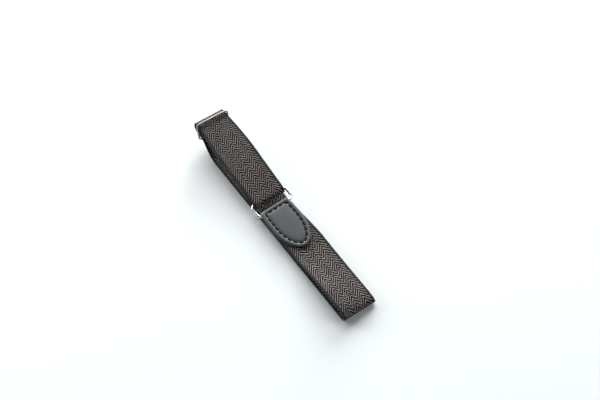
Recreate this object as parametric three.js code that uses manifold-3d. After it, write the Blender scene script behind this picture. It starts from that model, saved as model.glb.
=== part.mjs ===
// Elastic sleeve garter, lying flat as a squashed loop.
// Millimetres. X runs along the loop from the slider to the plain fold, Y across the webbing, Z up.
// The webbing starts sewn in the leather tab, makes the loop, passes through the slider,
// turns round the ring and ends sewn round the slider's centre bar.
import * as THREE from 'three';
import { mergeVertices } from 'three/addons/utils/BufferGeometryUtils.js';
import Module from 'manifold-3d';

// Webbing
const WEB_THICK = 1.4;
const WEB_BEVEL = 0.35;
const CLEARANCE = 0.3;
const LAYER_PITCH = WEB_THICK + CLEARANCE;
const FLOOR_LAYER = WEB_THICK / 2;

// Plain fold at the end of the loop, measured from the slider: the top layer runs down to a low nose
const LOOP_END = 138;
const FOLD_TOP = 5.6;
const FOLD_START = 122;
const NOSE = { x: LOOP_END - WEB_THICK / 2, z: 2.5 };
const FOLD_LANDS = 134.2;

// The upper layers lie a little twisted: their +Y side is high by the tab and low at the plain fold
const UPPER_ROLL = THREE.MathUtils.degToRad(4);
const FOLD_ROLL = THREE.MathUtils.degToRad(-10);

// Slider: a wire frame with a centre bar, leaning a little away from the ring
const WIRE_SIDES = 12;
const SLIDER_WIRE = 0.6;
const SLIDER_BAR_WIRE = 0.59;
const SLIDER_WIDTH = 21;
const SLIDER_BAR_STEP = 5.9;
const SLIDER_CORNER = 1.6;
const SLIDER_BAR = { x: -0.7, z: 11.05 };
const SLIDER_LEAN = THREE.MathUtils.degToRad(-4);

// Ring: a wire rectangle with round corners, from its far bar to the bar in the leather
const RING_WIRE = 0.75;
const RING_WIDTH = 23.4;
const RING_CORNER = 2.2;
const RING_SHIFT = -0.45;
const RING_FAR_BAR = { x: 54.9, z: 5.7 };
const RING_NEAR_BAR = { x: 63.3, z: 5.05 };

// Leather tab, folded round the ring's near bar with the webbing's end between its leaves
const LEATHER_THICK = 1.1;
const TAB_FOLD_INNER = 1.12;
const TAB_OUTER = TAB_FOLD_INNER + LEATHER_THICK;
const TAB_LENGTH = 31.2;
const TAB_EDGE_HALF = 8.4;
const TAB_HALF = 9.3;
const TAB_SHOULDER = 5;
const TAB_STRAIGHT = 14;
const TAB_CORNER = 0.8;
const TAB_SLOPE = THREE.MathUtils.degToRad(1.4);
const TAB_SHIFT = -1.35;
const TAB_SKEW = Math.tan(THREE.MathUtils.degToRad(-0.3));

// Webbing turned round the bars, from one angle to another in degrees
const TURN_RADIUS = 2;
const RING_TURN = { x: RING_FAR_BAR.x + 0.24, z: RING_FAR_BAR.z, radius: TURN_RADIUS, from: 81, to: -106 };
const SLIDER_TURN = { ...SLIDER_BAR, radius: TURN_RADIUS, from: 95, to: 290 };

const toRadians = THREE.MathUtils.degToRad;
const at = (x, z) => new THREE.Vector2(x, z);

/** Points on a circular turn. */
function turn({ x, z, radius, from, to }) {
  const steps = 16;
  const points = [];
  for (let i = 0; i <= steps; i += 1) {
    const angle = toRadians(from + ((to - from) * i) / steps);
    points.push(at(x + radius * Math.cos(angle), z + radius * Math.sin(angle)));
  }
  return points;
}

/** Curve that leaves its start towards one point and arrives at its end from another. */
function curveOf({ start, leave, arrive, end }) {
  return new THREE.CubicBezierCurve(start, leave, arrive, end);
}

/** Points on such a curve. */
function bend(shape) {
  return curveOf(shape).getPoints(10);
}

/** Points a fixed distance under a curve, or on it at distance 0, between two of its parameters. */
function layerPoints(curve, distance, from, to) {
  const steps = 8;
  const points = [];
  for (let i = 0; i <= steps; i += 1) {
    const t = from + ((to - from) * i) / steps;
    const tangent = curve.getTangent(t);
    const normal = at(-tangent.y, tangent.x);
    points.push(curve.getPoint(t).addScaledVector(normal, -distance));
  }
  return points;
}

/** Closed surface through rings of points; an open run of rings gets a flat cap at each end. */
function skin(rings, closed) {
  const size = rings[0].length;
  const positions = rings.flat().flatMap((point) => [point.x, point.y, point.z]);
  const index = [];
  const last = closed ? rings.length : rings.length - 1;
  for (let i = 0; i < last; i += 1) {
    const a = i * size;
    const b = ((i + 1) % rings.length) * size;
    for (let k = 0; k < size; k += 1) {
      const next = (k + 1) % size;
      index.push(a + k, a + next, b + next, a + k, b + next, b + k);
    }
  }
  if (!closed) {
    const end = (rings.length - 1) * size;
    for (let k = 1; k < size - 1; k += 1) {
      index.push(0, k + 1, k, end, end + k, end + k + 1);
    }
  }
  const geometry = new THREE.BufferGeometry();
  geometry.setAttribute('position', new THREE.Float32BufferAttribute(positions, 3));
  geometry.setIndex(index);
  geometry.computeVertexNormals();
  return geometry;
}

// Turns of the webbing, and the layers that hang between the slider and the ring
const ringTurn = turn(RING_TURN);
const sliderTurn = turn(SLIDER_TURN);
const topLayer = curveOf(
  { start: at(-1.7, 15.3), leave: at(5.3, 15.3), arrive: at(31.45, 11.4), end: ringTurn[0] });
const MIDDLE = 0.5;
const UNDER_SPAN = { from: 0.84, to: 0.22 };
const TAIL_SPAN = { from: 0.3, to: 0.52 };
const underRingHalf = layerPoints(topLayer, LAYER_PITCH, UNDER_SPAN.from, MIDDLE);
const underSliderHalf = layerPoints(topLayer, LAYER_PITCH, MIDDLE, UNDER_SPAN.to);
const tailLayer = layerPoints(topLayer, 2 * LAYER_PITCH, TAIL_SPAN.from, TAIL_SPAN.to);

// Stretch that runs straight through the tab, in the line of its slope
const onTabLine = (x) => at(x, RING_NEAR_BAR.z - (x - RING_NEAR_BAR.x) * Math.tan(TAB_SLOPE));
const SEWN_START = onTabLine(66);
const TAB_MIDDLE = onTabLine(80);
const TAB_EXIT = onTabLine(93);

// Bends of the centre line from one of these stretches to the next
const LIFT = at(17, FLOOR_LAYER);
const LOW_SLOT = at(0.9, 6.4);
const BULGE = at(-5.4, 12);
const BENDS = {
  loopTop: { start: TAB_EXIT, leave: onTabLine(102), arrive: at(113, FOLD_TOP), end: at(FOLD_START, FOLD_TOP) },
  foldFall: { start: at(FOLD_START, FOLD_TOP), leave: at(133.3, FOLD_TOP),
    arrive: at(NOSE.x, 5), end: at(NOSE.x, NOSE.z) },
  foldUnder: { start: at(NOSE.x, NOSE.z), leave: at(NOSE.x, 1.1),
    arrive: at(136.2, FLOOR_LAYER), end: at(FOLD_LANDS, FLOOR_LAYER) },
  lift: { start: LIFT, leave: at(9.5, FLOOR_LAYER), arrive: at(4.25, 4.65), end: LOW_SLOT },
  bulgeRise: { start: LOW_SLOT, leave: at(-1.85, 7.85), arrive: at(-5.4, 7.6), end: BULGE },
  bulgeOver: { start: BULGE, leave: at(-5.4, 14.2), arrive: at(-4.1, 15.3), end: topLayer.v0 },
  offTheRing: { start: ringTurn.at(-1), leave: at(52.76, 4.3),
    arrive: underRingHalf[0].clone().add(at(2.4, -0.38)), end: underRingHalf[0] },
  toTheBar: { start: underSliderHalf.at(-1), leave: at(3.3, 13.35), arrive: at(0.9, 13.1), end: sliderTurn[0] },
  offTheBar: { start: sliderTurn.at(-1), leave: at(2.5, 10.1),
    arrive: tailLayer[0].clone().add(at(-3, 0.45)), end: tailLayer[0] },
};
const FLOOR_PLACES = [120, 100, 80, 60, 40].map((x) => at(x, FLOOR_LAYER));

// Twist of the layers, as the roll about X at a place on the route
const SLIDER_TWIST = { from: 3, to: 30 };
const LOOP_TWIST = { from: 88, to: FOLD_START };
const { lerp, smoothstep } = THREE.MathUtils;
const level = () => 0;
const tabTwist = () => UPPER_ROLL;
const sliderSideTwist = (x) => UPPER_ROLL * smoothstep(x, SLIDER_TWIST.from, SLIDER_TWIST.to);
const loopTwist = (x) => lerp(UPPER_ROLL, FOLD_ROLL, smoothstep(x, LOOP_TWIST.from, LOOP_TWIST.to));
const foldTwist = (x, z) => (FOLD_ROLL * (z - FLOOR_LAYER)) / (FOLD_TOP - FLOOR_LAYER);

// Each stretch of the webbing in order, with its width and sideways drift where it ends
const SEWN_EDGE = { width: 18.8, drift: -1 };
const STRETCHES = [
  { name: 'sewn in the tab', width: 20, drift: -0.3, twist: tabTwist,
    points: [SEWN_START, TAB_MIDDLE, TAB_EXIT] },
  { name: 'top of the loop', width: 20, drift: -0.35, twist: loopTwist, points: bend(BENDS.loopTop) },
  { name: 'plain fold', width: 19.8, drift: -0.35, twist: foldTwist,
    points: [...bend(BENDS.foldFall), ...bend(BENDS.foldUnder)] },
  { name: 'floor layer', width: 20.2, drift: -0.2, twist: level, points: [...FLOOR_PLACES, LIFT] },
  { name: 'lift to the slider', width: 17.9, drift: 0, twist: level, points: bend(BENDS.lift) },
  { name: 'bulge past the centre bar', width: 19, drift: 0, twist: level, points: bend(BENDS.bulgeRise) },
  { name: 'bulge over the centre bar', width: 17.9, drift: 0, twist: level, points: bend(BENDS.bulgeOver) },
  { name: 'top layer, slider half', width: 20.3, drift: -0.3, twist: sliderSideTwist,
    points: layerPoints(topLayer, 0, 0, MIDDLE) },
  { name: 'top layer, ring half', width: 19.4, drift: -0.5, twist: sliderSideTwist,
    points: layerPoints(topLayer, 0, MIDDLE, 1) },
  { name: 'turn round the ring', width: 19.4, drift: -0.5, twist: sliderSideTwist,
    points: ringTurn },
  { name: 'under layer, ring half', width: 20.2, drift: -0.3, twist: sliderSideTwist,
    points: [...bend(BENDS.offTheRing), ...underRingHalf] },
  { name: 'under layer, slider half', width: 17.9, drift: 0, twist: sliderSideTwist,
    points: underSliderHalf },
  { name: 'turn round the centre bar', width: 17.9, drift: 0, twist: sliderSideTwist,
    points: [...bend(BENDS.toTheBar), ...sliderTurn] },
  { name: 'sewn tail', width: 19.4, drift: 0, twist: sliderSideTwist,
    points: [...bend(BENDS.offTheBar), ...tailLayer] },
];

/** One bevelled section of webbing, square to its route and tipped by its roll. */
function webbingSection({ x, z, normal, width, drift, roll }) {
  const side = width / 2;
  const half = WEB_THICK / 2;
  const corners = [
    [-side + WEB_BEVEL, -half], [side - WEB_BEVEL, -half],
    [side, -half + WEB_BEVEL], [side, half - WEB_BEVEL],
    [side - WEB_BEVEL, half], [-side + WEB_BEVEL, half],
    [-side, half - WEB_BEVEL], [-side, -half + WEB_BEVEL],
  ];
  const tip = Math.tan(roll);
  return corners.map(([y, rise]) => (
    new THREE.Vector3(x + normal.x * rise, y + drift, z + normal.y * rise + y * tip)));
}

/** The whole webbing as one band of sections along its stretches. */
function webbing() {
  const closest = 0.05;
  const stations = [];
  let previous = SEWN_EDGE;
  for (const stretch of STRETCHES) {
    stretch.points.forEach((point, i) => {
      const share = smoothstep(i, 0, stretch.points.length - 1);
      const width = lerp(previous.width, stretch.width, share);
      const drift = lerp(previous.drift, stretch.drift, share);
      const before = stations.at(-1);
      if (!before || Math.hypot(point.x - before.x, point.y - before.z) > closest) {
        stations.push({ x: point.x, z: point.y, width, drift, roll: stretch.twist(point.x, point.y) });
      }
    });
    previous = stretch;
  }
  const rings = stations.map((station, i) => {
    const before = stations[Math.max(i - 1, 0)];
    const after = stations[Math.min(i + 1, stations.length - 1)];
    const along = at(after.x - before.x, after.z - before.z).normalize();
    return webbingSection({ ...station, normal: at(-along.y, along.x) });
  });
  return skin(rings, false);
}

/** Centre line of a rectangle with round corners, with its outward directions, in its own plane. */
function roundedRectangle(halfU, halfV, radius) {
  const centres = [[1, 1], [-1, 1], [-1, -1], [1, -1]];
  const steps = 8;
  const points = [];
  centres.forEach(([signU, signV], corner) => {
    for (let i = 0; i <= steps; i += 1) {
      const angle = toRadians(90 * corner + (90 * i) / steps);
      const out = at(Math.cos(angle), Math.sin(angle));
      const u = signU * (halfU - radius) + radius * out.x;
      const v = signV * (halfV - radius) + radius * out.y;
      points.push({ u, v, out });
    }
  });
  return points;
}

/** Closed wire frame along a rounded rectangle; place turns its plane's u, v and height into a point. */
function wireFrame(halfU, halfV, radius, wire, place) {
  const rings = roundedRectangle(halfU, halfV, radius).map(({ u, v, out }) => {
    const ring = [];
    for (let k = 0; k < WIRE_SIDES; k += 1) {
      const angle = (-2 * Math.PI * k) / WIRE_SIDES;
      const reach = wire * Math.cos(angle);
      ring.push(place(u + out.x * reach, v + out.y * reach, wire * Math.sin(angle)));
    }
    return ring;
  });
  return skin(rings, true);
}

const wasm = await Module();
wasm.setup();

/** A closed three.js geometry as a manifold-3d solid. */
function solidFrom(geometry) {
  const plain = geometry.clone();
  plain.deleteAttribute('normal');
  plain.deleteAttribute('uv');
  const merged = mergeVertices(plain);
  const mesh = new wasm.Mesh({
    numProp: 3,
    vertProperties: new Float32Array(merged.attributes.position.array),
    triVerts: new Uint32Array(merged.index.array),
  });
  return new wasm.Manifold(mesh);
}

/** A manifold-3d solid as a three.js geometry. */
function geometryFrom(solid) {
  const mesh = solid.getMesh();
  const geometry = new THREE.BufferGeometry();
  geometry.setAttribute('position', new THREE.BufferAttribute(mesh.vertProperties.slice(), 3));
  geometry.setIndex(new THREE.BufferAttribute(mesh.triVerts.slice(), 1));
  geometry.computeVertexNormals();
  return geometry;
}

/** Ring in its own plane: X from bar to bar, Y along the bars. */
function ring() {
  const reach = Math.hypot(RING_NEAR_BAR.x - RING_FAR_BAR.x, RING_NEAR_BAR.z - RING_FAR_BAR.z);
  const place = (u, v, height) => new THREE.Vector3(u, v, height);
  return wireFrame(reach / 2, RING_WIDTH / 2 - RING_WIRE, RING_CORNER, RING_WIRE, place);
}

/** Slider standing in its own plane: Y along the bars, Z from bar to bar. */
function slider() {
  const halfWidth = SLIDER_WIDTH / 2 - SLIDER_WIRE;
  const place = (u, v, height) => new THREE.Vector3(height, u, v);
  const frame = wireFrame(halfWidth, SLIDER_BAR_STEP, SLIDER_CORNER, SLIDER_WIRE, place);
  const centreBar = new THREE.CylinderGeometry(SLIDER_BAR_WIRE, SLIDER_BAR_WIRE, 2 * halfWidth, WIRE_SIDES);
  return geometryFrom(solidFrom(frame).add(solidFrom(centreBar)));
}

/** Plan outline of the tab: a straight edge at the ring, straight sides and a round tip. */
function tabOutline() {
  const outline = new THREE.Shape();
  const tipReach = TAB_LENGTH - TAB_STRAIGHT;
  outline.moveTo(0, -TAB_EDGE_HALF + TAB_CORNER);
  outline.quadraticCurveTo(0, -TAB_EDGE_HALF, TAB_CORNER, -TAB_EDGE_HALF);
  outline.quadraticCurveTo(TAB_SHOULDER, -TAB_HALF, TAB_STRAIGHT, -TAB_HALF);
  outline.absellipse(TAB_STRAIGHT, 0, tipReach, TAB_HALF, -Math.PI / 2, Math.PI / 2, false, 0);
  outline.quadraticCurveTo(TAB_SHOULDER, TAB_HALF, TAB_CORNER, TAB_EDGE_HALF);
  outline.quadraticCurveTo(0, TAB_EDGE_HALF, 0, TAB_EDGE_HALF - TAB_CORNER);
  return outline;
}

/** Tab in its own frame: the straight edge at X 0, the leaves either side of Z 0. */
function tab() {
  const outer = TAB_OUTER;
  const inner = TAB_FOLD_INNER;
  const margin = 1;
  const reach = TAB_LENGTH + margin;
  const profile = new THREE.Shape();
  profile.moveTo(reach, outer);
  profile.lineTo(outer, outer);
  profile.absarc(outer, 0, outer, Math.PI / 2, 1.5 * Math.PI, false);
  profile.lineTo(reach, -outer);
  profile.lineTo(reach, -inner);
  profile.lineTo(outer, -inner);
  profile.absarc(outer, 0, inner, 1.5 * Math.PI, Math.PI / 2, true);
  profile.lineTo(reach, inner);
  const halfBlank = TAB_HALF + TAB_LENGTH * Math.abs(TAB_SKEW) + margin;
  const folded = new THREE.ExtrudeGeometry(
    profile, { depth: 2 * halfBlank, bevelEnabled: false, curveSegments: 14 });
  folded.rotateX(Math.PI / 2);
  folded.translate(0, halfBlank, 0);
  const halfCut = outer + margin;
  const cutter = new THREE.ExtrudeGeometry(
    tabOutline(), { depth: 2 * halfCut, bevelEnabled: false, curveSegments: 20 });
  cutter.translate(0, 0, -halfCut);
  const skew = new THREE.Matrix4().set(1, 0, 0, 0, -TAB_SKEW, 1, 0, 0, 0, 0, 1, 0, 0, 0, 0, 1);
  cutter.applyMatrix4(skew);
  return geometryFrom(solidFrom(folded).intersect(solidFrom(cutter)));
}

const elastic = new THREE.MeshStandardMaterial({ color: 0x5b5754, roughness: 0.9, metalness: 0 });
const leather = new THREE.MeshStandardMaterial({ color: 0x2c2f31, roughness: 0.45, metalness: 0 });
const nickel = new THREE.MeshStandardMaterial({ color: 0xd8d8d6, roughness: 0.15, metalness: 1 });

function namedMesh(name, geometry, material) {
  const mesh = new THREE.Mesh(geometry, material);
  mesh.name = name;
  return mesh;
}

const strapMesh = namedMesh('elastic_strap', webbing(), elastic);

const tabMesh = namedMesh('leather_tab', tab(), leather);
tabMesh.rotation.set(UPPER_ROLL, TAB_SLOPE, 0);
tabMesh.position.set(
  RING_NEAR_BAR.x - TAB_OUTER * Math.cos(TAB_SLOPE), TAB_SHIFT,
  RING_NEAR_BAR.z + TAB_OUTER * Math.sin(TAB_SLOPE) + TAB_SHIFT * Math.tan(UPPER_ROLL));

const ringMesh = namedMesh('ring', ring(), nickel);
const ringSlope = Math.atan2(RING_FAR_BAR.z - RING_NEAR_BAR.z, RING_NEAR_BAR.x - RING_FAR_BAR.x);
ringMesh.rotation.set(UPPER_ROLL, ringSlope, 0);
ringMesh.position.set(
  (RING_FAR_BAR.x + RING_NEAR_BAR.x) / 2, RING_SHIFT,
  (RING_FAR_BAR.z + RING_NEAR_BAR.z) / 2 + RING_SHIFT * Math.tan(UPPER_ROLL));

const sliderMesh = namedMesh('slider', slider(), nickel.clone());
sliderMesh.rotation.y = SLIDER_LEAN;
sliderMesh.position.set(SLIDER_BAR.x, 0, SLIDER_BAR.z);

// The origin is the middle of the garter's footprint, on the surface it lies on
const garter = new THREE.Group();
garter.add(strapMesh, tabMesh, ringMesh, sliderMesh);
garter.updateMatrixWorld(true);
const extent = new THREE.Box3().setFromObject(garter, true);
garter.position.x = -(extent.min.x + extent.max.x) / 2;
garter.updateMatrixWorld(true);

export default garter;
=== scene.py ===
import math

import bmesh
import bpy
import numpy as np
from mathutils import Euler, Matrix, Vector


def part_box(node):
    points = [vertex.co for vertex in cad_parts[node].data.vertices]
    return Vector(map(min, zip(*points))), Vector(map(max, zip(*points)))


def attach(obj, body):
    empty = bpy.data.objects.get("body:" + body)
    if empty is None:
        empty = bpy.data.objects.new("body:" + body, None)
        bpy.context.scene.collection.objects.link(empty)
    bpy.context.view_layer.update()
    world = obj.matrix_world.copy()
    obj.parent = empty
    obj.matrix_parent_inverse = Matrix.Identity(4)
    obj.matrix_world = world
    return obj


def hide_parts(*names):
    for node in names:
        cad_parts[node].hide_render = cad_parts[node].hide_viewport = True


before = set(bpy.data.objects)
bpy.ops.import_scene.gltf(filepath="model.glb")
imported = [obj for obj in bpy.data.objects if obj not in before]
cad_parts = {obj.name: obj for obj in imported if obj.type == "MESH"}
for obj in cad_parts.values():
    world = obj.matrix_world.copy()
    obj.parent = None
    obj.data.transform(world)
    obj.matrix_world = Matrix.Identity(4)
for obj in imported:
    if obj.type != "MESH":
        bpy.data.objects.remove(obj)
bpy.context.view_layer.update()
scene = bpy.context.scene

# Camera. A long lens looks down along the garter from the side of its plain fold, about half
# a metre away.
MM = 0.001
CAMERA_AZIMUTH = math.radians(54.8)
CAMERA_ELEVATION = math.radians(55.6)
CAMERA_DISTANCE = 494.9 * MM
LOOKS_AT = Vector((-2.3, 14.84, 0.0)) * MM
back = Vector((
    math.sin(CAMERA_AZIMUTH) * math.cos(CAMERA_ELEVATION),
    -math.cos(CAMERA_AZIMUTH) * math.cos(CAMERA_ELEVATION),
    math.sin(CAMERA_ELEVATION),
))
camera = bpy.data.objects.new("camera", bpy.data.cameras.new("camera"))
camera.data.lens = 54
camera.data.sensor_width = 36
camera.data.clip_start = 0.01
camera.location = LOOKS_AT + back * CAMERA_DISTANCE
camera.rotation_euler = back.to_track_quat("Z", "Y").to_euler()
scene.collection.objects.link(camera)
scene.camera = camera

# Table and light. A plain white surface is lit by a wide soft window light that reaches round
# from the slider's end to the garter's far side, so that shadows fall to the left and the front.
scene.view_settings.view_transform = "Standard"
FLOOR_HALF = 3.0
FLOOR_DROP = 0.02 * MM
floor_mesh = bpy.data.meshes.new("floor")
floor_mesh.from_pydata(
    [(x * FLOOR_HALF, y * FLOOR_HALF, -FLOOR_DROP) for x, y in ((-1, -1), (1, -1), (1, 1), (-1, 1))],
    [], [(0, 1, 2, 3)])
floor = bpy.data.objects.new("floor", floor_mesh)
scene.collection.objects.link(floor)
floor_finish = bpy.data.materials.new("white table")
floor_finish.use_nodes = True
floor_shader = floor_finish.node_tree.nodes["Principled BSDF"]
floor_shader.inputs["Base Color"].default_value = (0.865, 0.9, 0.907, 1)
floor_shader.inputs["Roughness"].default_value = 0.6
floor_mesh.materials.append(floor_finish)

world = bpy.data.worlds.new("bright room")
world.use_nodes = True
world.node_tree.nodes["Background"].inputs["Color"].default_value = (0.9, 0.97, 1, 1)
world.node_tree.nodes["Background"].inputs["Strength"].default_value = 0.11
scene.world = world

LAMP_DISTANCE = 2.5
LAMPS = [
    # name, degrees round from the slider's end, degrees up, size in metres, watts
    ("window lamp", 22, 30, 2.4, 92),
    ("low lamp behind the slider", -30, 14, 1.2, 46),
    ("low side lamp", 50, 14, 1.2, 60),
    ("far side lamp", 120, 32, 1.2, 14),
]
for name, round_by, up_by, size, watts in LAMPS:
    lamp = bpy.data.objects.new(name, bpy.data.lights.new(name, "AREA"))
    lamp.data.size = size
    lamp.data.energy = watts
    way = Euler((0, math.radians(up_by), -math.radians(round_by))).to_matrix() @ Vector((-1, 0, 0))
    lamp.location = way * LAMP_DISTANCE
    lamp.rotation_euler = way.to_track_quat("Z", "Y").to_euler()
    scene.collection.objects.link(lamp)

# Route of the webbing. One length of webbing starts sewn in the leather tab, makes the loop,
# passes through the slider, turns round the ring and ends sewn round the slider's centre bar.
# Its centre line is given as X from the slider and Z, in millimetres.
WEB_WIDTH = 20
WEB_THICK = 1.4
LAYER_GAP = 0.3
LAYER_PITCH = WEB_THICK + LAYER_GAP
FLOOR_LAYER = WEB_THICK / 2
LOOP_END = 138
FOLD_TOP = 5.6
FOLD_START = 122
NOSE = (LOOP_END - WEB_THICK / 2, 2.5)
FOLD_LANDS = 134.2
UPPER_ROLL = math.radians(4)
FOLD_ROLL = math.radians(-10)
SLIDER_BAR = (-0.7, 11.05)
RING_FAR_BAR = (54.9, 5.7)
RING_NEAR_BAR = (63.3, 5.05)
TURN_RADIUS = 2
RING_TURN_AHEAD = 0.24
TAB_SLOPE = math.radians(1.4)
SLIDER_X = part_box("elastic_strap")[1].x / MM - LOOP_END
STRETCH_POINTS = 60


def smoothstep(value, low, high):
    """A share from 0 to 1 between two values, with soft ends."""
    share = np.clip((value - low) / (high - low), 0, 1)
    return share * share * (3 - 2 * share)


def turn(x, z, radius, start, end):
    """Points on a circular turn, between two angles in degrees."""
    angles = np.radians(np.linspace(start, end, STRETCH_POINTS))
    return np.column_stack((x + radius * np.cos(angles), z + radius * np.sin(angles)))


def bend(start, leave, arrive, end):
    """Points on a curve that leaves its start towards one point and arrives from another."""
    t = np.linspace(0, 1, STRETCH_POINTS)[:, None]
    start, leave, arrive, end = map(np.asarray, (start, leave, arrive, end))
    return (1 - t) ** 3 * start + 3 * (1 - t) ** 2 * t * leave + 3 * (1 - t) * t**2 * arrive + t**3 * end


def straight(start, end):
    """Points on a straight run."""
    return np.linspace(start, end, STRETCH_POINTS)


def on_tab_line(x):
    """A point of the tab's middle plane, which slopes down from the ring."""
    return x, RING_NEAR_BAR[1] - (x - RING_NEAR_BAR[0]) * math.tan(TAB_SLOPE)


ring_turn = turn(RING_FAR_BAR[0] + RING_TURN_AHEAD, RING_FAR_BAR[1], TURN_RADIUS, 81, -106)
slider_turn = turn(*SLIDER_BAR, TURN_RADIUS, 95, 290)
top_layer = bend((-1.7, 15.3), (5.3, 15.3), (31.45, 11.4), ring_turn[0])


def under_top_layer(distance, start, end):
    """Points a fixed distance under the top layer, between two shares of its length."""
    along = np.gradient(top_layer, axis=0)
    along /= np.linalg.norm(along, axis=1)[:, None]
    below = top_layer + distance * np.column_stack((along[:, 1], -along[:, 0]))
    shares = np.linspace(0, 1, len(below))
    wanted = np.linspace(start, end, STRETCH_POINTS)
    return np.column_stack([np.interp(wanted, shares, column) for column in below.T])


under_ring_half = under_top_layer(LAYER_PITCH, 0.84, 0.5)
under_slider_half = under_top_layer(LAYER_PITCH, 0.5, 0.22)
tail_layer = under_top_layer(2 * LAYER_PITCH, 0.3, 0.52)
tab_exit = on_tab_line(93)
loop_top_end = (FOLD_START, FOLD_TOP)
lift = (17, FLOOR_LAYER)
low_slot = (0.9, 6.4)
bulge = (-5.4, 12)


# How far a stretch is rolled about its own length, at a place on its centre line.
def level(x, z):
    return 0 * x


def tab_twist(x, z):
    return UPPER_ROLL + 0 * x


def slider_side_twist(x, z):
    return UPPER_ROLL * smoothstep(x, 3, 30)


def loop_twist(x, z):
    return UPPER_ROLL + (FOLD_ROLL - UPPER_ROLL) * smoothstep(x, 88, FOLD_START)


def fold_twist(x, z):
    return FOLD_ROLL * (z - FLOOR_LAYER) / (FOLD_TOP - FLOOR_LAYER)


SEWN_END = (18.8, -1)
STRETCHES = [
    # width and sideways drift at its end, twist, points; the sewn end comes before the first
    (20, -0.3, tab_twist, [straight(on_tab_line(66), tab_exit)]),
    (20, -0.35, loop_twist, [bend(tab_exit, on_tab_line(102), (113, FOLD_TOP), loop_top_end)]),
    (19.8, -0.35, fold_twist, [
        bend(loop_top_end, (133.3, FOLD_TOP), (NOSE[0], 5), NOSE),
        bend(NOSE, (NOSE[0], 1.1), (136.2, FLOOR_LAYER), (FOLD_LANDS, FLOOR_LAYER))]),
    (20.2, -0.2, level, [straight((FOLD_LANDS, FLOOR_LAYER), lift)]),
    (17.9, 0, level, [bend(lift, (9.5, FLOOR_LAYER), (4.25, 4.65), low_slot)]),
    (19, 0, level, [bend(low_slot, (-1.85, 7.85), (-5.4, 7.6), bulge)]),
    (17.9, 0, level, [bend(bulge, (-5.4, 14.2), (-4.1, 15.3), top_layer[0])]),
    (20.3, -0.3, slider_side_twist, [under_top_layer(0, 0, 0.5)]),
    (19.4, -0.5, slider_side_twist, [under_top_layer(0, 0.5, 1)]),
    (19.4, -0.5, slider_side_twist, [ring_turn]),
    (20.2, -0.3, slider_side_twist, [
        bend(ring_turn[-1], (52.76, 4.3), under_ring_half[0] + (2.4, -0.38), under_ring_half[0]),
        under_ring_half]),
    (17.9, 0, slider_side_twist, [under_slider_half]),
    (17.9, 0, slider_side_twist, [
        bend(under_slider_half[-1], (3.3, 13.35), (0.9, 13.1), slider_turn[0]), slider_turn]),
    (19.4, 0, slider_side_twist, [
        bend(slider_turn[-1], (2.5, 10.1), tail_layer[0] + (-3, 0.45), tail_layer[0]), tail_layer]),
]
rows = []
before = SEWN_END
for width, drift, twist, parts in STRETCHES:
    points = np.concatenate(parts)
    share = smoothstep(np.linspace(0, 1, len(points)), 0, 1)
    rows.append(np.column_stack((
        points[:, 0], points[:, 1], before[0] + (width - before[0]) * share,
        before[1] + (drift - before[1]) * share, twist(points[:, 0], points[:, 1]))))
    before = (width, drift)
route = np.concatenate(rows)
distance = np.r_[0, np.cumsum(np.linalg.norm(np.diff(route[:, :2], axis=0), axis=1))]
ROUTE_STEP = 0.2
ROUTE_LENGTH = float(distance[-1])
stations = np.arange(0, ROUTE_LENGTH, ROUTE_STEP)
route = np.column_stack([np.interp(stations, distance, column) for column in route.T])

# Corners between the stretches are softened over a few steps of the route.
SOFTEN = 3
kernel = np.exp(-0.5 * (np.arange(-3 * SOFTEN, 3 * SOFTEN + 1) / SOFTEN) ** 2)
padded = np.pad(route, ((3 * SOFTEN, 3 * SOFTEN), (0, 0)), mode="reflect", reflect_type="odd")
route = np.column_stack([np.convolve(column, kernel / kernel.sum(), "valid") for column in padded.T])
heading = np.gradient(route[:, :2], axis=0)
heading /= np.linalg.norm(heading, axis=1)[:, None]

route_line = np.column_stack((route[:, 0] + SLIDER_X, route[:, 3], route[:, 1]))
laid_length = float(np.linalg.norm(np.diff(route_line, axis=0), axis=1).sum())
route_mesh = bpy.data.meshes.new("route")
route_mesh.from_pydata(route_line * MM, [(i, i + 1) for i in range(len(route) - 1)], [])
for name, kind, values in (
    ("up", "FLOAT_VECTOR", np.column_stack((-heading[:, 1], 0 * stations, heading[:, 0]))),
    ("side", "FLOAT_VECTOR", np.column_stack((0 * stations, 0 * stations + 1, np.tan(route[:, 4])))),
    ("widening", "FLOAT", route[:, 2] / WEB_WIDTH),
):
    attribute = route_mesh.attributes.new(name, kind, "POINT")
    field = "vector" if kind == "FLOAT_VECTOR" else "value"
    attribute.data.foreach_set(field, values.astype(np.float32).ravel())
route_guide = bpy.data.objects.new("route_guide", route_mesh)
scene.collection.objects.link(route_guide)

# Ground of the webbing. A dense black band with rubber threads inside, flat in its middle,
# where the pattern yarns lie, and with two rounded cords along each plain edge.
# The pattern lies a little off the middle, while the edges keep their place.
PATTERN_HALF = 8.75
PATTERN_SHIFT = -0.3
SHIFT_FALLOFF = 12
GROUND_STEP = 0.6
EDGE_PROFILE = [
    # across from the middle, off the mid-plane
    (0, 0.50), (2.2, 0.50), (4.4, 0.50), (6.6, 0.50), (8.55, 0.50), (8.72, 0.58), (8.92, 0.65),
    (9.12, 0.66), (9.3, 0.62), (9.42, 0.57), (9.56, 0.59), (9.72, 0.58), (9.86, 0.49), (9.96, 0.30),
    (10, 0.10),
]
upper = np.array([(-y, h) for y, h in EDGE_PROFILE[:0:-1]] + EDGE_PROFILE)
upper[:, 0] += PATTERN_SHIFT * (1 - (upper[:, 0] / (WEB_WIDTH / 2)) ** SHIFT_FALLOFF)
section = np.concatenate((upper, upper[::-1] * (1, -1)))


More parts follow.
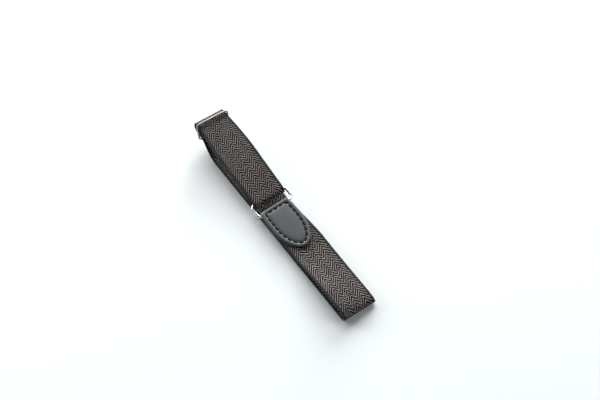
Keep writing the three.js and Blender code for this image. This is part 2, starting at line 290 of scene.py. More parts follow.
def smooth_object(name, vertices, faces):
    """A new piece from vertices in metres and faces, with smooth shading."""
    mesh = bpy.data.meshes.new(name)
    mesh.from_pydata(vertices, [], faces)
    mesh.shade_smooth()
    piece = bpy.data.objects.new(name, mesh)
    scene.collection.objects.link(piece)
    return piece


def skin(rings, sides, closed=False):
    """Faces between rings of points that follow one another, and back to the first if closed."""
    return [
        (i * sides + k, (i + 1) % rings * sides + k,
         (i + 1) % rings * sides + (k + 1) % sides, i * sides + (k + 1) % sides)
        for i in range(rings if closed else rings - 1) for k in range(sides)
    ]


def flat_map(piece, name):
    """A UV map that keeps each point's place along and across, in millimetres."""
    uv_map = piece.data.uv_layers.new(name=name)
    for loop in piece.data.loops:
        point = piece.data.vertices[loop.vertex_index].co
        uv_map.data[loop.index].uv = (point.x / MM, point.y / MM)


ground_places = np.linspace(0, laid_length, int(laid_length / GROUND_STEP))
size = len(section)
ground_points = [(s * MM, y * MM, h * MM) for s in ground_places for y, h in section]
ground_faces = skin(len(ground_places), size)
last = len(ground_points) - size
for k in range(size // 2 - 1):
    end_face = (k, k + 1, size - 2 - k, size - 1 - k)
    ground_faces += [end_face, tuple(last + corner for corner in end_face[::-1])]
webbing = smooth_object("webbing_ground", ground_points, ground_faces)
flat_map(webbing, "cloth")


# Materials and geometry trees are put together from these few steps.
def add(tree, kind, links, **settings):
    """One node. links gives its inputs, by name or number, as values or as other nodes' outputs."""
    made = tree.nodes.new(kind)
    for name, value in settings.items():
        setattr(made, name, value)
    for socket, value in links.items():
        if isinstance(value, bpy.types.NodeSocket):
            tree.links.new(value, made.inputs[socket])
        else:
            made.inputs[socket].default_value = value
    return made


def maths(tree, operation, *values):
    """A sum, product or other step on plain numbers."""
    return add(tree, "ShaderNodeMath", dict(enumerate(values)), operation=operation).outputs[0]


def vector_maths(tree, operation, *values):
    """A vector sum or product; a plain number in a SCALE goes to its own socket."""
    links = dict(enumerate(values))
    if operation == "SCALE":
        links = {0: values[0], "Scale": values[1]}
    return add(tree, "ShaderNodeVectorMath", links, operation=operation).outputs[0]


def new_material(name, **constants):
    """A material and its main shader, with plain values set on the shader's own sockets."""
    material = bpy.data.materials.new(name)
    material.use_nodes = True
    shader = material.node_tree.nodes["Principled BSDF"]
    for socket, value in constants.items():
        shader.inputs[socket.replace("_", " ")].default_value = value
    return material, material.node_tree, shader


def noise(tree, vector, scale, detail=3):
    """Soft random clouds, from 0 to 1."""
    links = {"Vector": vector, "Scale": scale, "Detail": detail}
    return add(tree, "ShaderNodeTexNoise", links).outputs["Fac"]


def between(tree, factor, low, high):
    """Maps a factor from 0 to 1 onto a range."""
    return add(tree, "ShaderNodeMapRange", {0: factor, 3: low, 4: high}).outputs[0]


def colour_between(tree, factor, dark, light):
    """Mixes two colours by a factor from 0 to 1."""
    links = {0: factor, 6: (*dark, 1), 7: (*light, 1)}
    return add(tree, "ShaderNodeMix", links, data_type="RGBA").outputs[2]


def bumped(tree, shader, height, distance, strength=1.0):
    """Gives the shader fine relief; distance is how deep it goes, in metres."""
    links = {"Height": height, "Distance": distance, "Strength": strength}
    tree.links.new(add(tree, "ShaderNodeBump", links).outputs[0], shader.inputs["Normal"])


ground_finish, tree, shader = new_material(
    "black webbing ground", Roughness=0.85, Sheen_Weight=0.06, Sheen_Roughness=0.5, Specular_IOR_Level=0.3)
cloth = add(tree, "ShaderNodeUVMap", {}, uv_map="cloth").outputs[0]
ribs = add(tree, "ShaderNodeTexWave", {
    "Vector": cloth, "Scale": 0.64, "Distortion": 1.2, "Detail": 2, "Detail Scale": 6}, bands_direction="X")
worn = noise(tree, cloth, 0.35)
shade = maths(tree, "MULTIPLY", ribs.outputs["Fac"], between(tree, worn, 0.7, 1.2))
tree.links.new(
    colour_between(tree, shade, (0.010, 0.010, 0.011), (0.034, 0.034, 0.036)), shader.inputs["Base Color"])
bumped(tree, shader, ribs.outputs["Fac"], 0.12 * MM)


# A geometry tree's sizes are its named inputs.
def new_tree(name, inputs):
    """A node tree with its group input and output; inputs maps each name to its socket type."""
    tree = bpy.data.node_groups.new(name, "GeometryNodeTree")
    tree.interface.new_socket("Geometry", in_out="INPUT", socket_type="NodeSocketGeometry")
    for label, kind in inputs.items():
        tree.interface.new_socket(label, in_out="INPUT", socket_type=f"NodeSocket{kind}")
    tree.interface.new_socket("Geometry", in_out="OUTPUT", socket_type="NodeSocketGeometry")
    return tree, tree.nodes.new("NodeGroupInput").outputs, tree.nodes.new("NodeGroupOutput").inputs


def made_solid(piece, tree, **values):
    """Runs the tree on the piece, leaves the result as its plain mesh, and takes the modifier off."""
    modifier = piece.modifiers.new(tree.name, "NODES")
    modifier.node_group = tree
    for item in tree.interface.items_tree:
        name = item.name.lower().replace(" ", "_")
        if item.in_out == "INPUT" and name in values:
            modifier[item.identifier] = values[name]
    depsgraph = bpy.context.evaluated_depsgraph_get()
    mesh = bpy.data.meshes.new_from_object(
        piece.evaluated_get(depsgraph), preserve_all_data_layers=True, depsgraph=depsgraph)
    piece.modifiers.clear()
    piece.data = mesh
    mesh.name = piece.name


def laid_on_route(tree, geometry, route_socket):
    """Bends flat cloth onto the route: its X runs along the route, Y across it and Z off its face."""
    guide = add(tree, "GeometryNodeObjectInfo", {"Object": route_socket})
    curve = add(tree, "GeometryNodeMeshToCurve", {"Mesh": guide.outputs["Geometry"]}).outputs[0]
    place = add(tree, "GeometryNodeInputPosition", {}).outputs[0]
    flat = add(tree, "ShaderNodeSeparateXYZ", {0: place}).outputs

    def sampled(name, kind):
        value = add(tree, "GeometryNodeInputNamedAttribute", {"Name": name}, data_type=kind).outputs[0]
        found = add(
            tree, "GeometryNodeSampleCurve", {"Curves": curve, "Value": value, "Length": flat[0]},
            mode="LENGTH", data_type=kind)
        return found.outputs["Value"], found.outputs["Position"]

    up, centre = sampled("up", "FLOAT_VECTOR")
    side, _ = sampled("side", "FLOAT_VECTOR")
    widening, _ = sampled("widening", "FLOAT")
    across = maths(tree, "MULTIPLY", flat[1], widening)
    raised = vector_maths(tree, "ADD", centre, vector_maths(tree, "SCALE", up, flat[2]))
    bent = vector_maths(tree, "ADD", raised, vector_maths(tree, "SCALE", side, across))
    return add(tree, "GeometryNodeSetPosition", {"Geometry": geometry, "Position": bent}).outputs[0]


tree, given, result = new_tree("band along the route", {"Route": "Object", "Finish": "Material"})
band = laid_on_route(tree, given["Geometry"], given["Route"])
band = add(tree, "GeometryNodeRealizeInstances", {0: band}).outputs[0]
band = add(tree, "GeometryNodeSetMaterial", {"Geometry": band, "Material": given["Finish"]}).outputs[0]
tree.links.new(band, result[0])
made_solid(webbing, tree, route=route_guide, finish=ground_finish)

# Pattern yarns. The herringbone is a two-over, two-under twill that turns back at the end of
# each column: light yarns run along the webbing, and black ones cross between them, a little askew.
COLUMN_ENDS = (10, 6, 8, 6, 8, 8)
END_PITCH = 2 * PATTERN_HALF / sum(COLUMN_ENDS)
PICK_PITCH = 0.4875
REPEAT = 4 * PICK_PITCH
SKEW = -0.2
# How far under the webbing's face the yarns are bedded.
YARN_BED = 0.24
# A float's length as a share of two picks or ends, and its width as a share of one.
LIGHT_FLOAT = (0.92, 0.74)
DARK_FLOAT = (1.08, 0.96)
# How far a float may stray, and how far and how often a whole line of floats wavers.
YARN_JITTER = (0.03, 0.02, 0.012)
WAVER = (1.1, 0.3, 0)
WAVER_SCALE = 170.0
WEAVE_SEED = 7
YARN_ACROSS = (-1, 0, 1)
YARN_ROWS = [
    # share of half the length, share of half the width, height at the side, height in the middle
    (-1.0, 0.62, 0.02, 0.07), (-0.4, 1.0, 0.09, 0.23), (0.4, 1.0, 0.09, 0.23), (1.0, 0.62, 0.02, 0.07),
]


def yarn_piece(name, length, width):
    """One visible float of a yarn: a low rounded hump with a flat underside."""
    wide = len(YARN_ACROSS)
    spans = range(len(YARN_ROWS) - 1)
    points = [
        (share * length / 2 * MM, across * narrow * width / 2 * MM, (middle if across == 0 else side) * MM)
        for share, narrow, side, middle in YARN_ROWS for across in YARN_ACROSS
    ]
    faces = [
        (r * wide + c, (r + 1) * wide + c, (r + 1) * wide + c + 1, r * wide + c + 1)
        for r in spans for c in range(wide - 1)
    ]
    faces += [(r * wide, (r + 1) * wide - 1, (r + 2) * wide - 1, (r + 1) * wide) for r in spans]
    far_end = len(points) - wide
    faces += [(0, 1, 2), (far_end, far_end + 2, far_end + 1)]
    piece = smooth_object(name, points, faces)
    flat_map(piece, "fibre")
    return piece


# Each end lifts one pick before or after its neighbour, so the lines of floats slant.
end_lifts = [0]
for number, ends in enumerate(COLUMN_ENDS):
    slant = 1 if number % 2 else -1
    end_lifts += [end_lifts[-1] + slant * (k + 1) for k in range(ends if number else ends - 1)]


def lane_place(pick, end, share):
    """Where a line of floats starts, in millimetres along and across, and its floats' share of two ends."""
    across = (end - (len(end_lifts) - 1) / 2) * END_PITCH + PATTERN_SHIFT
    return (pick * PICK_PITCH + SKEW * across) % REPEAT, across, share


light_lanes = [lane_place(lift + 1, end, 1) for end, lift in enumerate(end_lifts)]
dark_lanes = []
for pick in range(4):
    first = None
    for end, lift in enumerate(end_lifts + [None]):
        under = lift is not None and (pick - lift) % 4 >= 2
        if under and first is None:
            first = end
        elif not under and first is not None:
            dark_lanes.append(lane_place(pick + 0.5, (first + end - 1) / 2, (end - first) / 2))
            first = None

tree, given, result = new_tree("herringbone yarns", {
    "Yarn": "Object", "Route": "Object", "Finish": "Material", "Repeats": "Int", "Repeat Length": "Float",
    "Angle": "Float", "Turned Over": "Float", "Seed": "Int"})
copies = add(tree, "GeometryNodeDuplicateElements", {
    "Geometry": given["Geometry"], "Amount": given["Repeats"]}, domain="POINT").outputs
moved_on = add(tree, "ShaderNodeCombineXYZ", {
    0: maths(tree, "MULTIPLY", copies["Duplicate Index"], given["Repeat Length"])}).outputs[0]
jitter = add(tree, "FunctionNodeRandomValue", {
    "Min": tuple(-reach * MM for reach in YARN_JITTER), "Max": tuple(reach * MM for reach in YARN_JITTER),
    "Seed": given["Seed"]}, data_type="FLOAT_VECTOR").outputs[0]
spots = add(tree, "GeometryNodeSetPosition", {
    "Geometry": copies["Geometry"], "Offset": vector_maths(tree, "ADD", moved_on, jitter)}).outputs[0]
there = add(tree, "GeometryNodeInputPosition", {}).outputs[0]
waves = add(tree, "ShaderNodeTexNoise", {
    "Vector": there, "Scale": WAVER_SCALE, "Detail": 2.0}).outputs["Color"]
waves = vector_maths(tree, "SUBTRACT", waves, (0.5, 0.5, 0.5))
waves = vector_maths(tree, "MULTIPLY", waves, tuple(reach * MM for reach in WAVER))
spots = add(tree, "GeometryNodeSetPosition", {"Geometry": spots, "Offset": waves}).outputs[0]
share = add(tree, "GeometryNodeInputNamedAttribute", {"Name": "length_share"}, data_type="FLOAT").outputs[0]
turned = add(tree, "ShaderNodeCombineXYZ", {
    0: maths(tree, "MULTIPLY", given["Turned Over"], math.pi), 2: given["Angle"]}).outputs[0]
yarn = add(tree, "GeometryNodeObjectInfo", {"Object": given["Yarn"]}).outputs["Geometry"]
floats = add(tree, "GeometryNodeInstanceOnPoints", {
    "Points": spots, "Instance": yarn, "Rotation": turned,
    "Scale": add(tree, "ShaderNodeCombineXYZ", {0: share, 1: 1.0, 2: 1.0}).outputs[0]}).outputs[0]
lightness = add(tree, "FunctionNodeRandomValue", {"Seed": given["Seed"]}, data_type="FLOAT").outputs[1]
floats = add(tree, "GeometryNodeStoreNamedAttribute", {
    "Geometry": floats, "Name": "lightness", "Value": lightness},
    data_type="FLOAT", domain="INSTANCE").outputs[0]
floats = add(tree, "GeometryNodeRealizeInstances", {0: floats}).outputs[0]
floats = laid_on_route(tree, floats, given["Route"])
floats = add(tree, "GeometryNodeSetMaterial", {"Geometry": floats, "Material": given["Finish"]}).outputs[0]
tree.links.new(floats, result[0])
weave_tree = tree


def object_place(tree):
    """The place on the piece, for patterns that go through the whole of it."""
    return add(tree, "ShaderNodeTexCoord", {}).outputs["Object"]


def yarn_material(name, dark, light, roughness):
    """Textured polyester: fine fibres along the yarn, and each float a little lighter or darker."""
    material, tree, shader = new_material(
        name, Roughness=roughness, Sheen_Weight=0.02, Sheen_Roughness=0.4, Specular_IOR_Level=0.12)
    fibre = add(tree, "ShaderNodeUVMap", {}, uv_map="fibre").outputs[0]
    stretched = vector_maths(tree, "MULTIPLY", fibre, (2.5, 16, 1))
    place = object_place(tree)
    apart = vector_maths(tree, "SCALE", place, 900.0)
    strands = noise(tree, vector_maths(tree, "ADD", stretched, apart), 1.0)
    each = add(tree, "ShaderNodeAttribute", {}, attribute_name="lightness").outputs["Fac"]
    patches = noise(tree, place, 60.0)
    shade = maths(tree, "MULTIPLY", maths(tree, "ADD", each, maths(tree, "MULTIPLY", strands, 2.0)), 0.33)
    shade = maths(tree, "MULTIPLY", shade, between(tree, patches, 0.75, 1.25))
    tree.links.new(colour_between(tree, shade, dark, light), shader.inputs["Base Color"])
    bumped(tree, shader, strands, 0.05 * MM)
    return material


light_yarn = yarn_piece("light_yarn", 2 * PICK_PITCH * LIGHT_FLOAT[0], END_PITCH * LIGHT_FLOAT[1])
dark_yarn = yarn_piece("dark_yarn", 2 * END_PITCH * DARK_FLOAT[0], PICK_PITCH * DARK_FLOAT[1])
light_finish = yarn_material("grey-brown yarn", (0.2, 0.18, 0.168), (0.92, 0.83, 0.772), 0.8)
dark_finish = yarn_material("black yarn", (0.003, 0.003, 0.0035), (0.010, 0.0095, 0.010), 0.9)
repeats = int(laid_length / REPEAT) - 1
yarn_depth = WEB_THICK / 2 - YARN_BED
crosswise = math.atan2(1, SKEW)
woven = []
for name, yarn, finish, lanes, angle, turned_over in (
    ("light_yarns_outer", light_yarn, light_finish, light_lanes, 0.0, 0.0),
    ("dark_yarns_outer", dark_yarn, dark_finish, dark_lanes, crosswise, 0.0),
    ("light_yarns_inner", light_yarn, light_finish, light_lanes, 0.0, 1.0),
    ("dark_yarns_inner", dark_yarn, dark_finish, dark_lanes, crosswise, 1.0),
):
    depth = yarn_depth * (1 - 2 * turned_over)
    piece = smooth_object(name, [Vector((x, y, depth)) * MM for x, y, _ in lanes], [])
    shares = piece.data.attributes.new("length_share", "FLOAT", "POINT")
    shares.data.foreach_set("value", [share for _, _, share in lanes])
    made_solid(
        piece, weave_tree, yarn=yarn, route=route_guide, finish=finish, repeats=repeats,
        repeat_length=REPEAT * MM, angle=angle, turned_over=turned_over, seed=WEAVE_SEED)
    woven.append(piece)
for helper in (light_yarn, dark_yarn):
    bpy.data.objects.remove(helper)

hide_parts("elastic_strap")
for piece in (webbing, *woven):
    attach(piece, "root")

# Ring. A rectangle of nickel-plated wire with round corners links the webbing's turn to
# the leather tab. Its metal is made lighter than nickel plate, as a painted reflection of a bright
# room. It is bent to shape, and its soldered joint is hidden in the leather's fold.
RING_WIRE = 0.75
RING_WIDTH = 23.4
RING_CORNER = 2.2
WIRE_SIDES = 20
CORNER_STEPS = 13
wire_angles = np.linspace(0, 2 * math.pi, WIRE_SIDES, endpoint=False)


def rounded_frame(half_u, half_v, radius):
    """Centre line of a wire rectangle with round corners, and its outward directions."""
    points = []
    for corner, (sign_u, sign_v) in enumerate(((1, 1), (-1, 1), (-1, -1), (1, -1))):
        for angle in np.radians(np.linspace(90 * corner, 90 * corner + 90, CORNER_STEPS)):
            out = np.array((math.cos(angle), math.sin(angle)))
            centre = np.array((sign_u * (half_u - radius), sign_v * (half_v - radius)))
            points.append((centre + radius * out, out))
    return points


def wire_loop(name, half_u, half_v, radius, wire):
    """A closed wire frame in its own plane, u along X and v along Y, in millimetres."""
    path = rounded_frame(half_u, half_v, radius)
    vertices = [
        Vector((*(centre + out * wire * math.cos(angle)), wire * math.sin(angle))) * MM
        for centre, out in path for angle in wire_angles
    ]
    return smooth_object(name, vertices, skin(len(path), WIRE_SIDES, closed=True))


def nickel(name, dark, light, smoothest, roughest):
    """Nickel plate: cloudy in colour and gloss, with fine polishing marks."""
    material, tree, shader = new_material(name, Metallic=1)
    place = object_place(tree)
    cloudy = noise(tree, place, 220.0)
    fine = noise(tree, place, 2600.0)
    tree.links.new(colour_between(tree, cloudy, dark, light), shader.inputs["Base Color"])
    tree.links.new(between(tree, cloudy, smoothest, roughest), shader.inputs["Roughness"])
    bumped(tree, shader, fine, 0.01 * MM, 0.3)
    return material


def finish_wire(piece, node, finish, turned, centre):
    """Turns a wire piece into its place, gives it its metal and puts it in place of its plain solid."""
    piece.data.transform(Matrix.Translation(centre) @ turned)
    piece.data.materials.append(finish)
    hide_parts(node)
    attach(piece, "root")


ring_reach = math.hypot(RING_NEAR_BAR[0] - RING_FAR_BAR[0], RING_NEAR_BAR[1] - RING_FAR_BAR[1])
ring_slope = math.atan2(RING_FAR_BAR[1] - RING_NEAR_BAR[1], RING_NEAR_BAR[0] - RING_FAR_BAR[0])
ring_low, ring_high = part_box("ring")
ring = wire_loop("wire_ring", ring_reach / 2, RING_WIDTH / 2 - RING_WIRE, RING_CORNER, RING_WIRE)
ring_turned = Matrix.Rotation(UPPER_ROLL, 4, "X") @ Matrix.Rotation(ring_slope, 4, "Y")
# Lighter than nickel plate: painted reflection of a bright room.
nickel_lightened_as_reflection = nickel("bright nickel plate", (0.86, 0.855, 0.845), (0.97, 0.97, 0.965), 0.2, 0.34)
finish_wire(ring, "ring", nickel_lightened_as_reflection, ring_turned, (ring_low + ring_high) / 2)

# Slider. A rectangle of nickel-plated wire stands nearly upright in the webbing. Its nickel
# is rougher than the ring's, and darker in colour as painted shade. Its centre bar's ends widen
# where they are soldered to the frame.
SLIDER_WIRE = 0.6
SLIDER_WIDTH = 21
SLIDER_CORNER = 1.6
SLIDER_BAR_STEP = 5.9
SLIDER_LEAN = math.radians(-4)
BAR_PROFILE = [
    # share of half the bar, radius
    (-1, 0.5), (-0.97, 0.8), (-0.945, 0.72), (-0.91, 0.62), (-0.86, 0.59), (0, 0.59),
    (0.86, 0.59), (0.91, 0.62), (0.945, 0.72), (0.97, 0.8), (1, 0.5),
]
slider_half = SLIDER_WIDTH / 2 - SLIDER_WIRE
slider = wire_loop("wire_slider", SLIDER_BAR_STEP, slider_half, SLIDER_CORNER, SLIDER_WIRE)


def capped_skin(rings, sides):
    """A skin whose two open ends are closed."""
    last_ring = range((rings - 1) * sides, rings * sides)
    return skin(rings, sides) + [tuple(range(sides)), tuple(reversed(last_ring))]


bar_points = [
    Vector((radius * math.cos(angle), share * slider_half, radius * math.sin(angle))) * MM
    for share, radius in BAR_PROFILE for angle in wire_angles
]
centre_bar = smooth_object("slider_centre_bar", bar_points, capped_skin(len(BAR_PROFILE), WIRE_SIDES))
slider_low, slider_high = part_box("slider")
slider_turned = Matrix.Rotation(SLIDER_LEAN, 4, "Y") @ Matrix.Rotation(math.pi / 2, 4, "Y")
# Darker than the ring's nickel: painted shade, standing in for dark reflections.
nickel_darkened_as_shade = nickel("worn nickel plate", (0.27, 0.27, 0.265), (0.38, 0.38, 0.375), 0.3, 0.42)
for piece in (slider, centre_bar):
    finish_wire(piece, "slider", nickel_darkened_as_shade, slider_turned, (slider_low + slider_high) / 2)

# Leather tab. One piece of smooth black leather is folded round the ring's near bar, its two
# D-shaped leaves are sewn together through the webbing, and the seam is drawn into a groove.
# Its shape is worked out flat, as distance from the fold and distance across, then folded.
LEATHER = 1.1
TAB_INNER = 1.12
TAB_OUTER = TAB_INNER + LEATHER
TAB_REACH = 31.2
TAB_HALF = 9.3
FOLD_HALF = 8.3
TIP_LENGTH = 17.2
TAB_SHIFT = -1.35
TAB_SKEW = math.tan(math.radians(-0.3))
FOLD_ARC = TAB_OUTER * math.pi / 2
FLAT_LENGTH = TAB_REACH - TAB_OUTER + FOLD_ARC
TIP_START = FLAT_LENGTH - TIP_LENGTH
SEAM_INSET = 2.3
SEAM_FROM_FOLD = 4.5
FACE_PROFILE = [
    # inset from the edge, height at the free edge, height along the fold
    (0, -0.34, 0), (0.10, -0.13, 0), (0.25, -0.02, 0), (0.5, 0.06, 0.01), (0.9, 0.09, 0.03),
    (1.35, 0.06, 0.05), (1.65, -0.01, 0.02), (1.85, -0.10, -0.07), (2.05, -0.20, -0.17), (2.3, -0.26, -0.24),
    (2.55, -0.23, -0.21), (2.8, -0.16, -0.15), (3.1, -0.09, -0.08), (3.5, -0.01, -0.01), (4, 0.03, 0.03),
    (5, 0.07, 0.07), (6.5, 0.09, 0.09), (8, 0.10, 0.10), (8.6, 0.10, 0.10),
]
DEEPEST_RING = 4.0
SPINE_INSET = 8.6
SPINE = (12.5, 23.0)
# Points along the fold's edge, each side and the tip, and how much the corners are softened.
EDGE_STEPS = 30
SIDE_STEPS = 34
TIP_STEPS = 64
CORNER_SOFTENING = 14
FREE_SOFTENING = 6
# The inner face of each leaf, and the wall that joins it to the outer face.
INNER_INSETS = (0.1, 1.0, 3.0, 5.5, SPINE_INSET)
INNER_LIFT = 0.02
WALL_DEPTHS = (0.5, 0.75, 0.93)
WALL_BULGE = 0.004
MERGE_DISTANCE = 0.004 * MM


def d_ring(inset):
    """One ring of the flat leaf: its points from the fold, across, and how far each is a free edge.

    Past the deepest ring that keeps its shape, rings close in on a spine along the middle.
    """
    if inset > DEEPEST_RING:
        points, free = d_ring(DEEPEST_RING)
        spine = np.column_stack((np.clip(points[:, 0], *SPINE), 0 * points[:, 1]))
        return points + (spine - points) * (inset - DEEPEST_RING) / (SPINE_INSET - DEEPEST_RING), free
    if inset < SEAM_INSET:
        start = SEAM_FROM_FOLD * inset / SEAM_INSET
    else:
        start = SEAM_FROM_FOLD + inset - SEAM_INSET
    share = np.linspace(0, 1, SIDE_STEPS, endpoint=False)
    along = start + (TIP_START - start) * share
    half = TAB_HALF - (TAB_HALF - FOLD_HALF) * (1 - along / TIP_START) ** 3 - inset
    angle = np.linspace(math.pi / 2, -math.pi / 2, TIP_STEPS)
    tip = np.column_stack((TIP_LENGTH * np.cos(angle), TAB_HALF * np.sin(angle)))
    out = np.column_stack((np.cos(angle) / TIP_LENGTH, np.sin(angle) / TAB_HALF))
    tip += (TIP_START, 0) - inset * out / np.linalg.norm(out, axis=1)[:, None]
    side = np.column_stack((along, half))
    across = np.linspace(-half[0], half[0], EDGE_STEPS)[1:-1]
    edge = np.column_stack((np.full(len(across), start), across))
    points = np.concatenate((side, tip, side[::-1] * (1, -1), edge))
    free = np.r_[np.ones(len(points) - len(edge)), np.zeros(len(edge))]
    for _ in range(round(CORNER_SOFTENING * min(inset / SEAM_INSET, 1))):
        points = 0.5 * points + 0.25 * (np.roll(points, 1, 0) + np.roll(points, -1, 0))
    for _ in range(FREE_SOFTENING):
        free = 0.5 * free + 0.25 * (np.roll(free, 1) + np.roll(free, -1))
    return points, free


def folded_place(from_fold, across, height, leaf):
    """A point of the flat leaf in the tab's own frame; leaf is 1 for the upper and -1 for the lower."""
    radius = TAB_OUTER + height
    angle = min(from_fold / TAB_OUTER, math.pi / 2)
    x = TAB_OUTER - radius * math.cos(angle) + max(from_fold - FOLD_ARC, 0)
    return x, across - TAB_SKEW * x, leaf * radius * math.sin(angle)


tab_turned = Matrix.Rotation(UPPER_ROLL, 4, "X") @ Matrix.Rotation(TAB_SLOPE, 4, "Y")
tab_origin = Vector((
    RING_NEAR_BAR[0] - TAB_OUTER * math.cos(TAB_SLOPE) + SLIDER_X, TAB_SHIFT,
    RING_NEAR_BAR[1] + TAB_OUTER * math.sin(TAB_SLOPE) + TAB_SHIFT * math.tan(UPPER_ROLL)))
tab_matrix = Matrix.Translation(tab_origin * MM) @ tab_turned @ Matrix.Scale(MM, 4)
vertices = []
faces = []
wall_faces = set()
for leaf in (1, -1):
    rings = []
    for inset, free_height, fold_height in FACE_PROFILE:
        points, free = d_ring(inset)
        heights = fold_height + (free_height - fold_height) * free
        rings.append([folded_place(a, y, h, leaf) for (a, y), h in zip(points, heights)])
    inner = []
    for inset in INNER_INSETS:
        points, free = d_ring(inset)
        if inset == INNER_INSETS[0]:
            least_free = np.minimum(free, np.minimum(np.roll(free, 1), np.roll(free, -1)))
            points[least_free < 0.5, 0] = 0
        inner.append([folded_place(a, y, INNER_LIFT - LEATHER, leaf) for a, y in points])
    points, free = d_ring(0)
    wall = [
        [folded_place(a, y * (1 + WALL_BULGE * f), -depth * LEATHER, leaf) for (a, y), f in zip(points, free)]
        for depth in WALL_DEPTHS
    ]
    count = len(points)
    stack = inner[::-1] + wall[::-1] + rings
    first = len(vertices)
    vertices += [point for ring_points in stack for point in ring_points]
    inner_rings = len(inner)
    for r in range(len(stack) - 1):
        for k in range(count):
            crosses_wall = inner_rings - 1 <= r < inner_rings + len(wall)
            if crosses_wall and (free[k] < 0.5 or free[(k + 1) % count] < 0.5):
                continue
            a, b = first + r * count + k, first + r * count + (k + 1) % count
            face = (a, b, b + count, a + count) if leaf == 1 else (a, a + count, b + count, b)
            if crosses_wall:
                wall_faces.add(len(faces))
            faces.append(face)
tab = smooth_object("folded_leather_tab", [tab_matrix @ Vector(point) for point in vertices], faces)

leather, tree, shader = new_material("smooth black leather", Specular_IOR_Level=0.6)
place = object_place(tree)
grain = add(
    tree, "ShaderNodeTexVoronoi", {"Vector": place, "Scale": 2400.0}, feature="DISTANCE_TO_EDGE").outputs[0]
creases = noise(tree, place, 900.0)
clouds = noise(tree, place, 110.0)
tint = colour_between(tree, clouds, (0.036, 0.045, 0.051), (0.047, 0.057, 0.064))
tree.links.new(tint, shader.inputs["Base Color"])
tree.links.new(between(tree, creases, 0.36, 0.5), shader.inputs["Roughness"])
height = maths(tree, "ADD", maths(tree, "MINIMUM", grain, 0.25), maths(tree, "MULTIPLY", creases, 0.5))
bumped(tree, shader, height, 0.05 * MM, 0.5)

edge_paint, tree, shader = new_material("painted leather edge", Roughness=0.6)
place = object_place(tree)
rough_edge = noise(tree, place, 1800.0)
tint = colour_between(tree, rough_edge, (0.012, 0.012, 0.013), (0.04, 0.04, 0.041))
tree.links.new(tint, shader.inputs["Base Color"])
bumped(tree, shader, rough_edge, 0.12 * MM)

tab.data.materials.append(leather)
tab.data.materials.append(edge_paint)
for face in wall_faces:
    tab.data.polygons[face].material_index = 1

# Both leaves and their walls are joined into one closed shell, with its faces outward.
shell = bmesh.new()
shell.from_mesh(tab.data)
bmesh.ops.remove_doubles(shell, verts=shell.verts, dist=MERGE_DISTANCE)
bmesh.ops.recalc_face_normals(shell, faces=shell.faces)
shell.to_mesh(tab.data)
shell.free()
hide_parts("leather_tab")
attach(tab, "root")

# Seam. Waxed black thread of two plies is sewn in even stitches round both leaves and through
# the webbing between them, and lies down in the groove.
THREAD_HALF = 0.4
STITCH = 2.8
STITCH_PITCH = 3.3
STITCH_STEPS = 22
STITCH_SIDES = 14
STITCH_SLANT = math.radians(5)
STITCH_RISE = 0.1
STITCH_DIP = 0.5
STITCH_FLATNESS = 0.8
STITCH_END = 0.02
PLY_RELIEF = 0.16
TWISTS = 1.6
SEAM_DEPTH = -0.15
vertices = []
for i in range(STITCH_STEPS + 1):
    t = 2 * i / STITCH_STEPS - 1
    thick = THREAD_HALF * math.sqrt(max(1 - t**8, STITCH_END))
    rise = STITCH_RISE - STITCH_DIP * t**4
    for k in range(STITCH_SIDES):
        angle = 2 * math.pi * k / STITCH_SIDES
        ply = 1 + PLY_RELIEF * math.cos(2 * (angle - TWISTS * math.pi * t))
        vertices.append(Vector((
            t * STITCH / 2, thick * ply * math.cos(angle),
            rise + STITCH_FLATNESS * thick * ply * math.sin(angle))) * MM)
faces = [face[::-1] for face in capped_skin(STITCH_STEPS + 1, STITCH_SIDES)]
stitch = smooth_object("one_stitch", vertices, faces)

thread, tree, shader = new_material("waxed black thread", Roughness=0.8, Specular_IOR_Level=0.15)
place = object_place(tree)
fuzz = noise(tree, place, 3000.0)
tint = colour_between(tree, fuzz, (0.002, 0.002, 0.0025), (0.008, 0.008, 0.0085))
tree.links.new(tint, shader.inputs["Base Color"])
bumped(tree, shader, fuzz, 0.04 * MM)

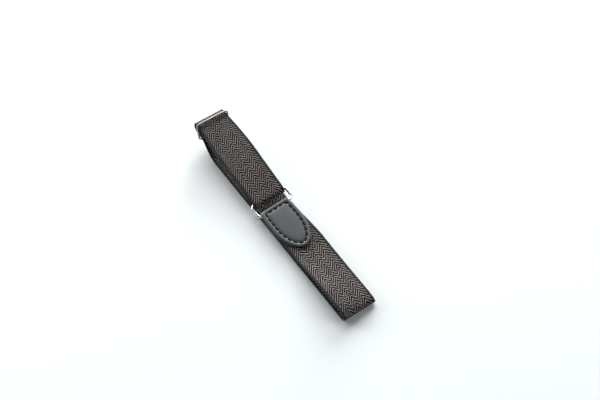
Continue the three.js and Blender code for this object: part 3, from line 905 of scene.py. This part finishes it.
tree, given, result = new_tree("stitches along a seam", {
    "Stitch": "Object", "Finish": "Material", "Count": "Int", "Slant": "Float"})
seam_line = add(tree, "GeometryNodeMeshToCurve", {"Mesh": given["Geometry"]}).outputs[0]
face_up = add(tree, "GeometryNodeInputNamedAttribute", {"Name": "up"}, data_type="FLOAT_VECTOR").outputs[0]
kept_up = add(tree, "GeometryNodeStoreNamedAttribute", {
    "Geometry": seam_line, "Name": "up", "Value": face_up},
    data_type="FLOAT_VECTOR", domain="POINT").outputs[0]
spots = add(tree, "GeometryNodeCurveToPoints", {"Curve": kept_up, "Count": given["Count"]}, mode="COUNT")
up_there = add(tree, "GeometryNodeInputNamedAttribute", {"Name": "up"}, data_type="FLOAT_VECTOR").outputs[0]
facing = add(tree, "FunctionNodeAlignRotationToVector", {"Vector": up_there}, axis="Z").outputs[0]
facing = add(tree, "FunctionNodeAlignRotationToVector", {
    "Rotation": facing, "Vector": spots.outputs["Tangent"]}, axis="X", pivot_axis="Z").outputs[0]
slant = add(tree, "ShaderNodeCombineXYZ", {2: given["Slant"]}).outputs[0]
facing = add(tree, "FunctionNodeRotateRotation", {
    "Rotation": facing, "Rotate By": slant}, rotation_space="LOCAL").outputs[0]
one_stitch = add(tree, "GeometryNodeObjectInfo", {"Object": given["Stitch"]}).outputs["Geometry"]
sewn = add(tree, "GeometryNodeInstanceOnPoints", {
    "Points": spots.outputs["Points"], "Rotation": facing, "Instance": one_stitch}).outputs[0]
sewn = add(tree, "GeometryNodeRealizeInstances", {0: sewn}).outputs[0]
sewn = add(tree, "GeometryNodeSetMaterial", {"Geometry": sewn, "Material": given["Finish"]}).outputs[0]
tree.links.new(sewn, result[0])
stitch_tree = tree

seam_points, _ = d_ring(SEAM_INSET)
seam_length = float(np.linalg.norm(seam_points - np.roll(seam_points, 1, 0), axis=1).sum())
for leaf, name in ((1, "upper_seam"), (-1, "lower_seam")):
    line = [tab_matrix @ Vector(folded_place(a, y, SEAM_DEPTH, leaf)) for a, y in seam_points]
    mesh = bpy.data.meshes.new(name)
    mesh.from_pydata(line, [(i, (i + 1) % len(line)) for i in range(len(line))], [])
    normal = tab_turned.to_3x3() @ Vector((0, 0, leaf))
    up = mesh.attributes.new("up", "FLOAT_VECTOR", "POINT")
    up.data.foreach_set("vector", list(normal) * len(line))
    seam = bpy.data.objects.new(name, mesh)
    scene.collection.objects.link(seam)
    made_solid(
        seam, stitch_tree, stitch=stitch, finish=thread, count=round(seam_length / STITCH_PITCH),
        slant=STITCH_SLANT)
    seam.data.shade_smooth()
    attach(seam, "root")
bpy.data.objects.remove(stitch)
bpy.data.objects.remove(route_guide)
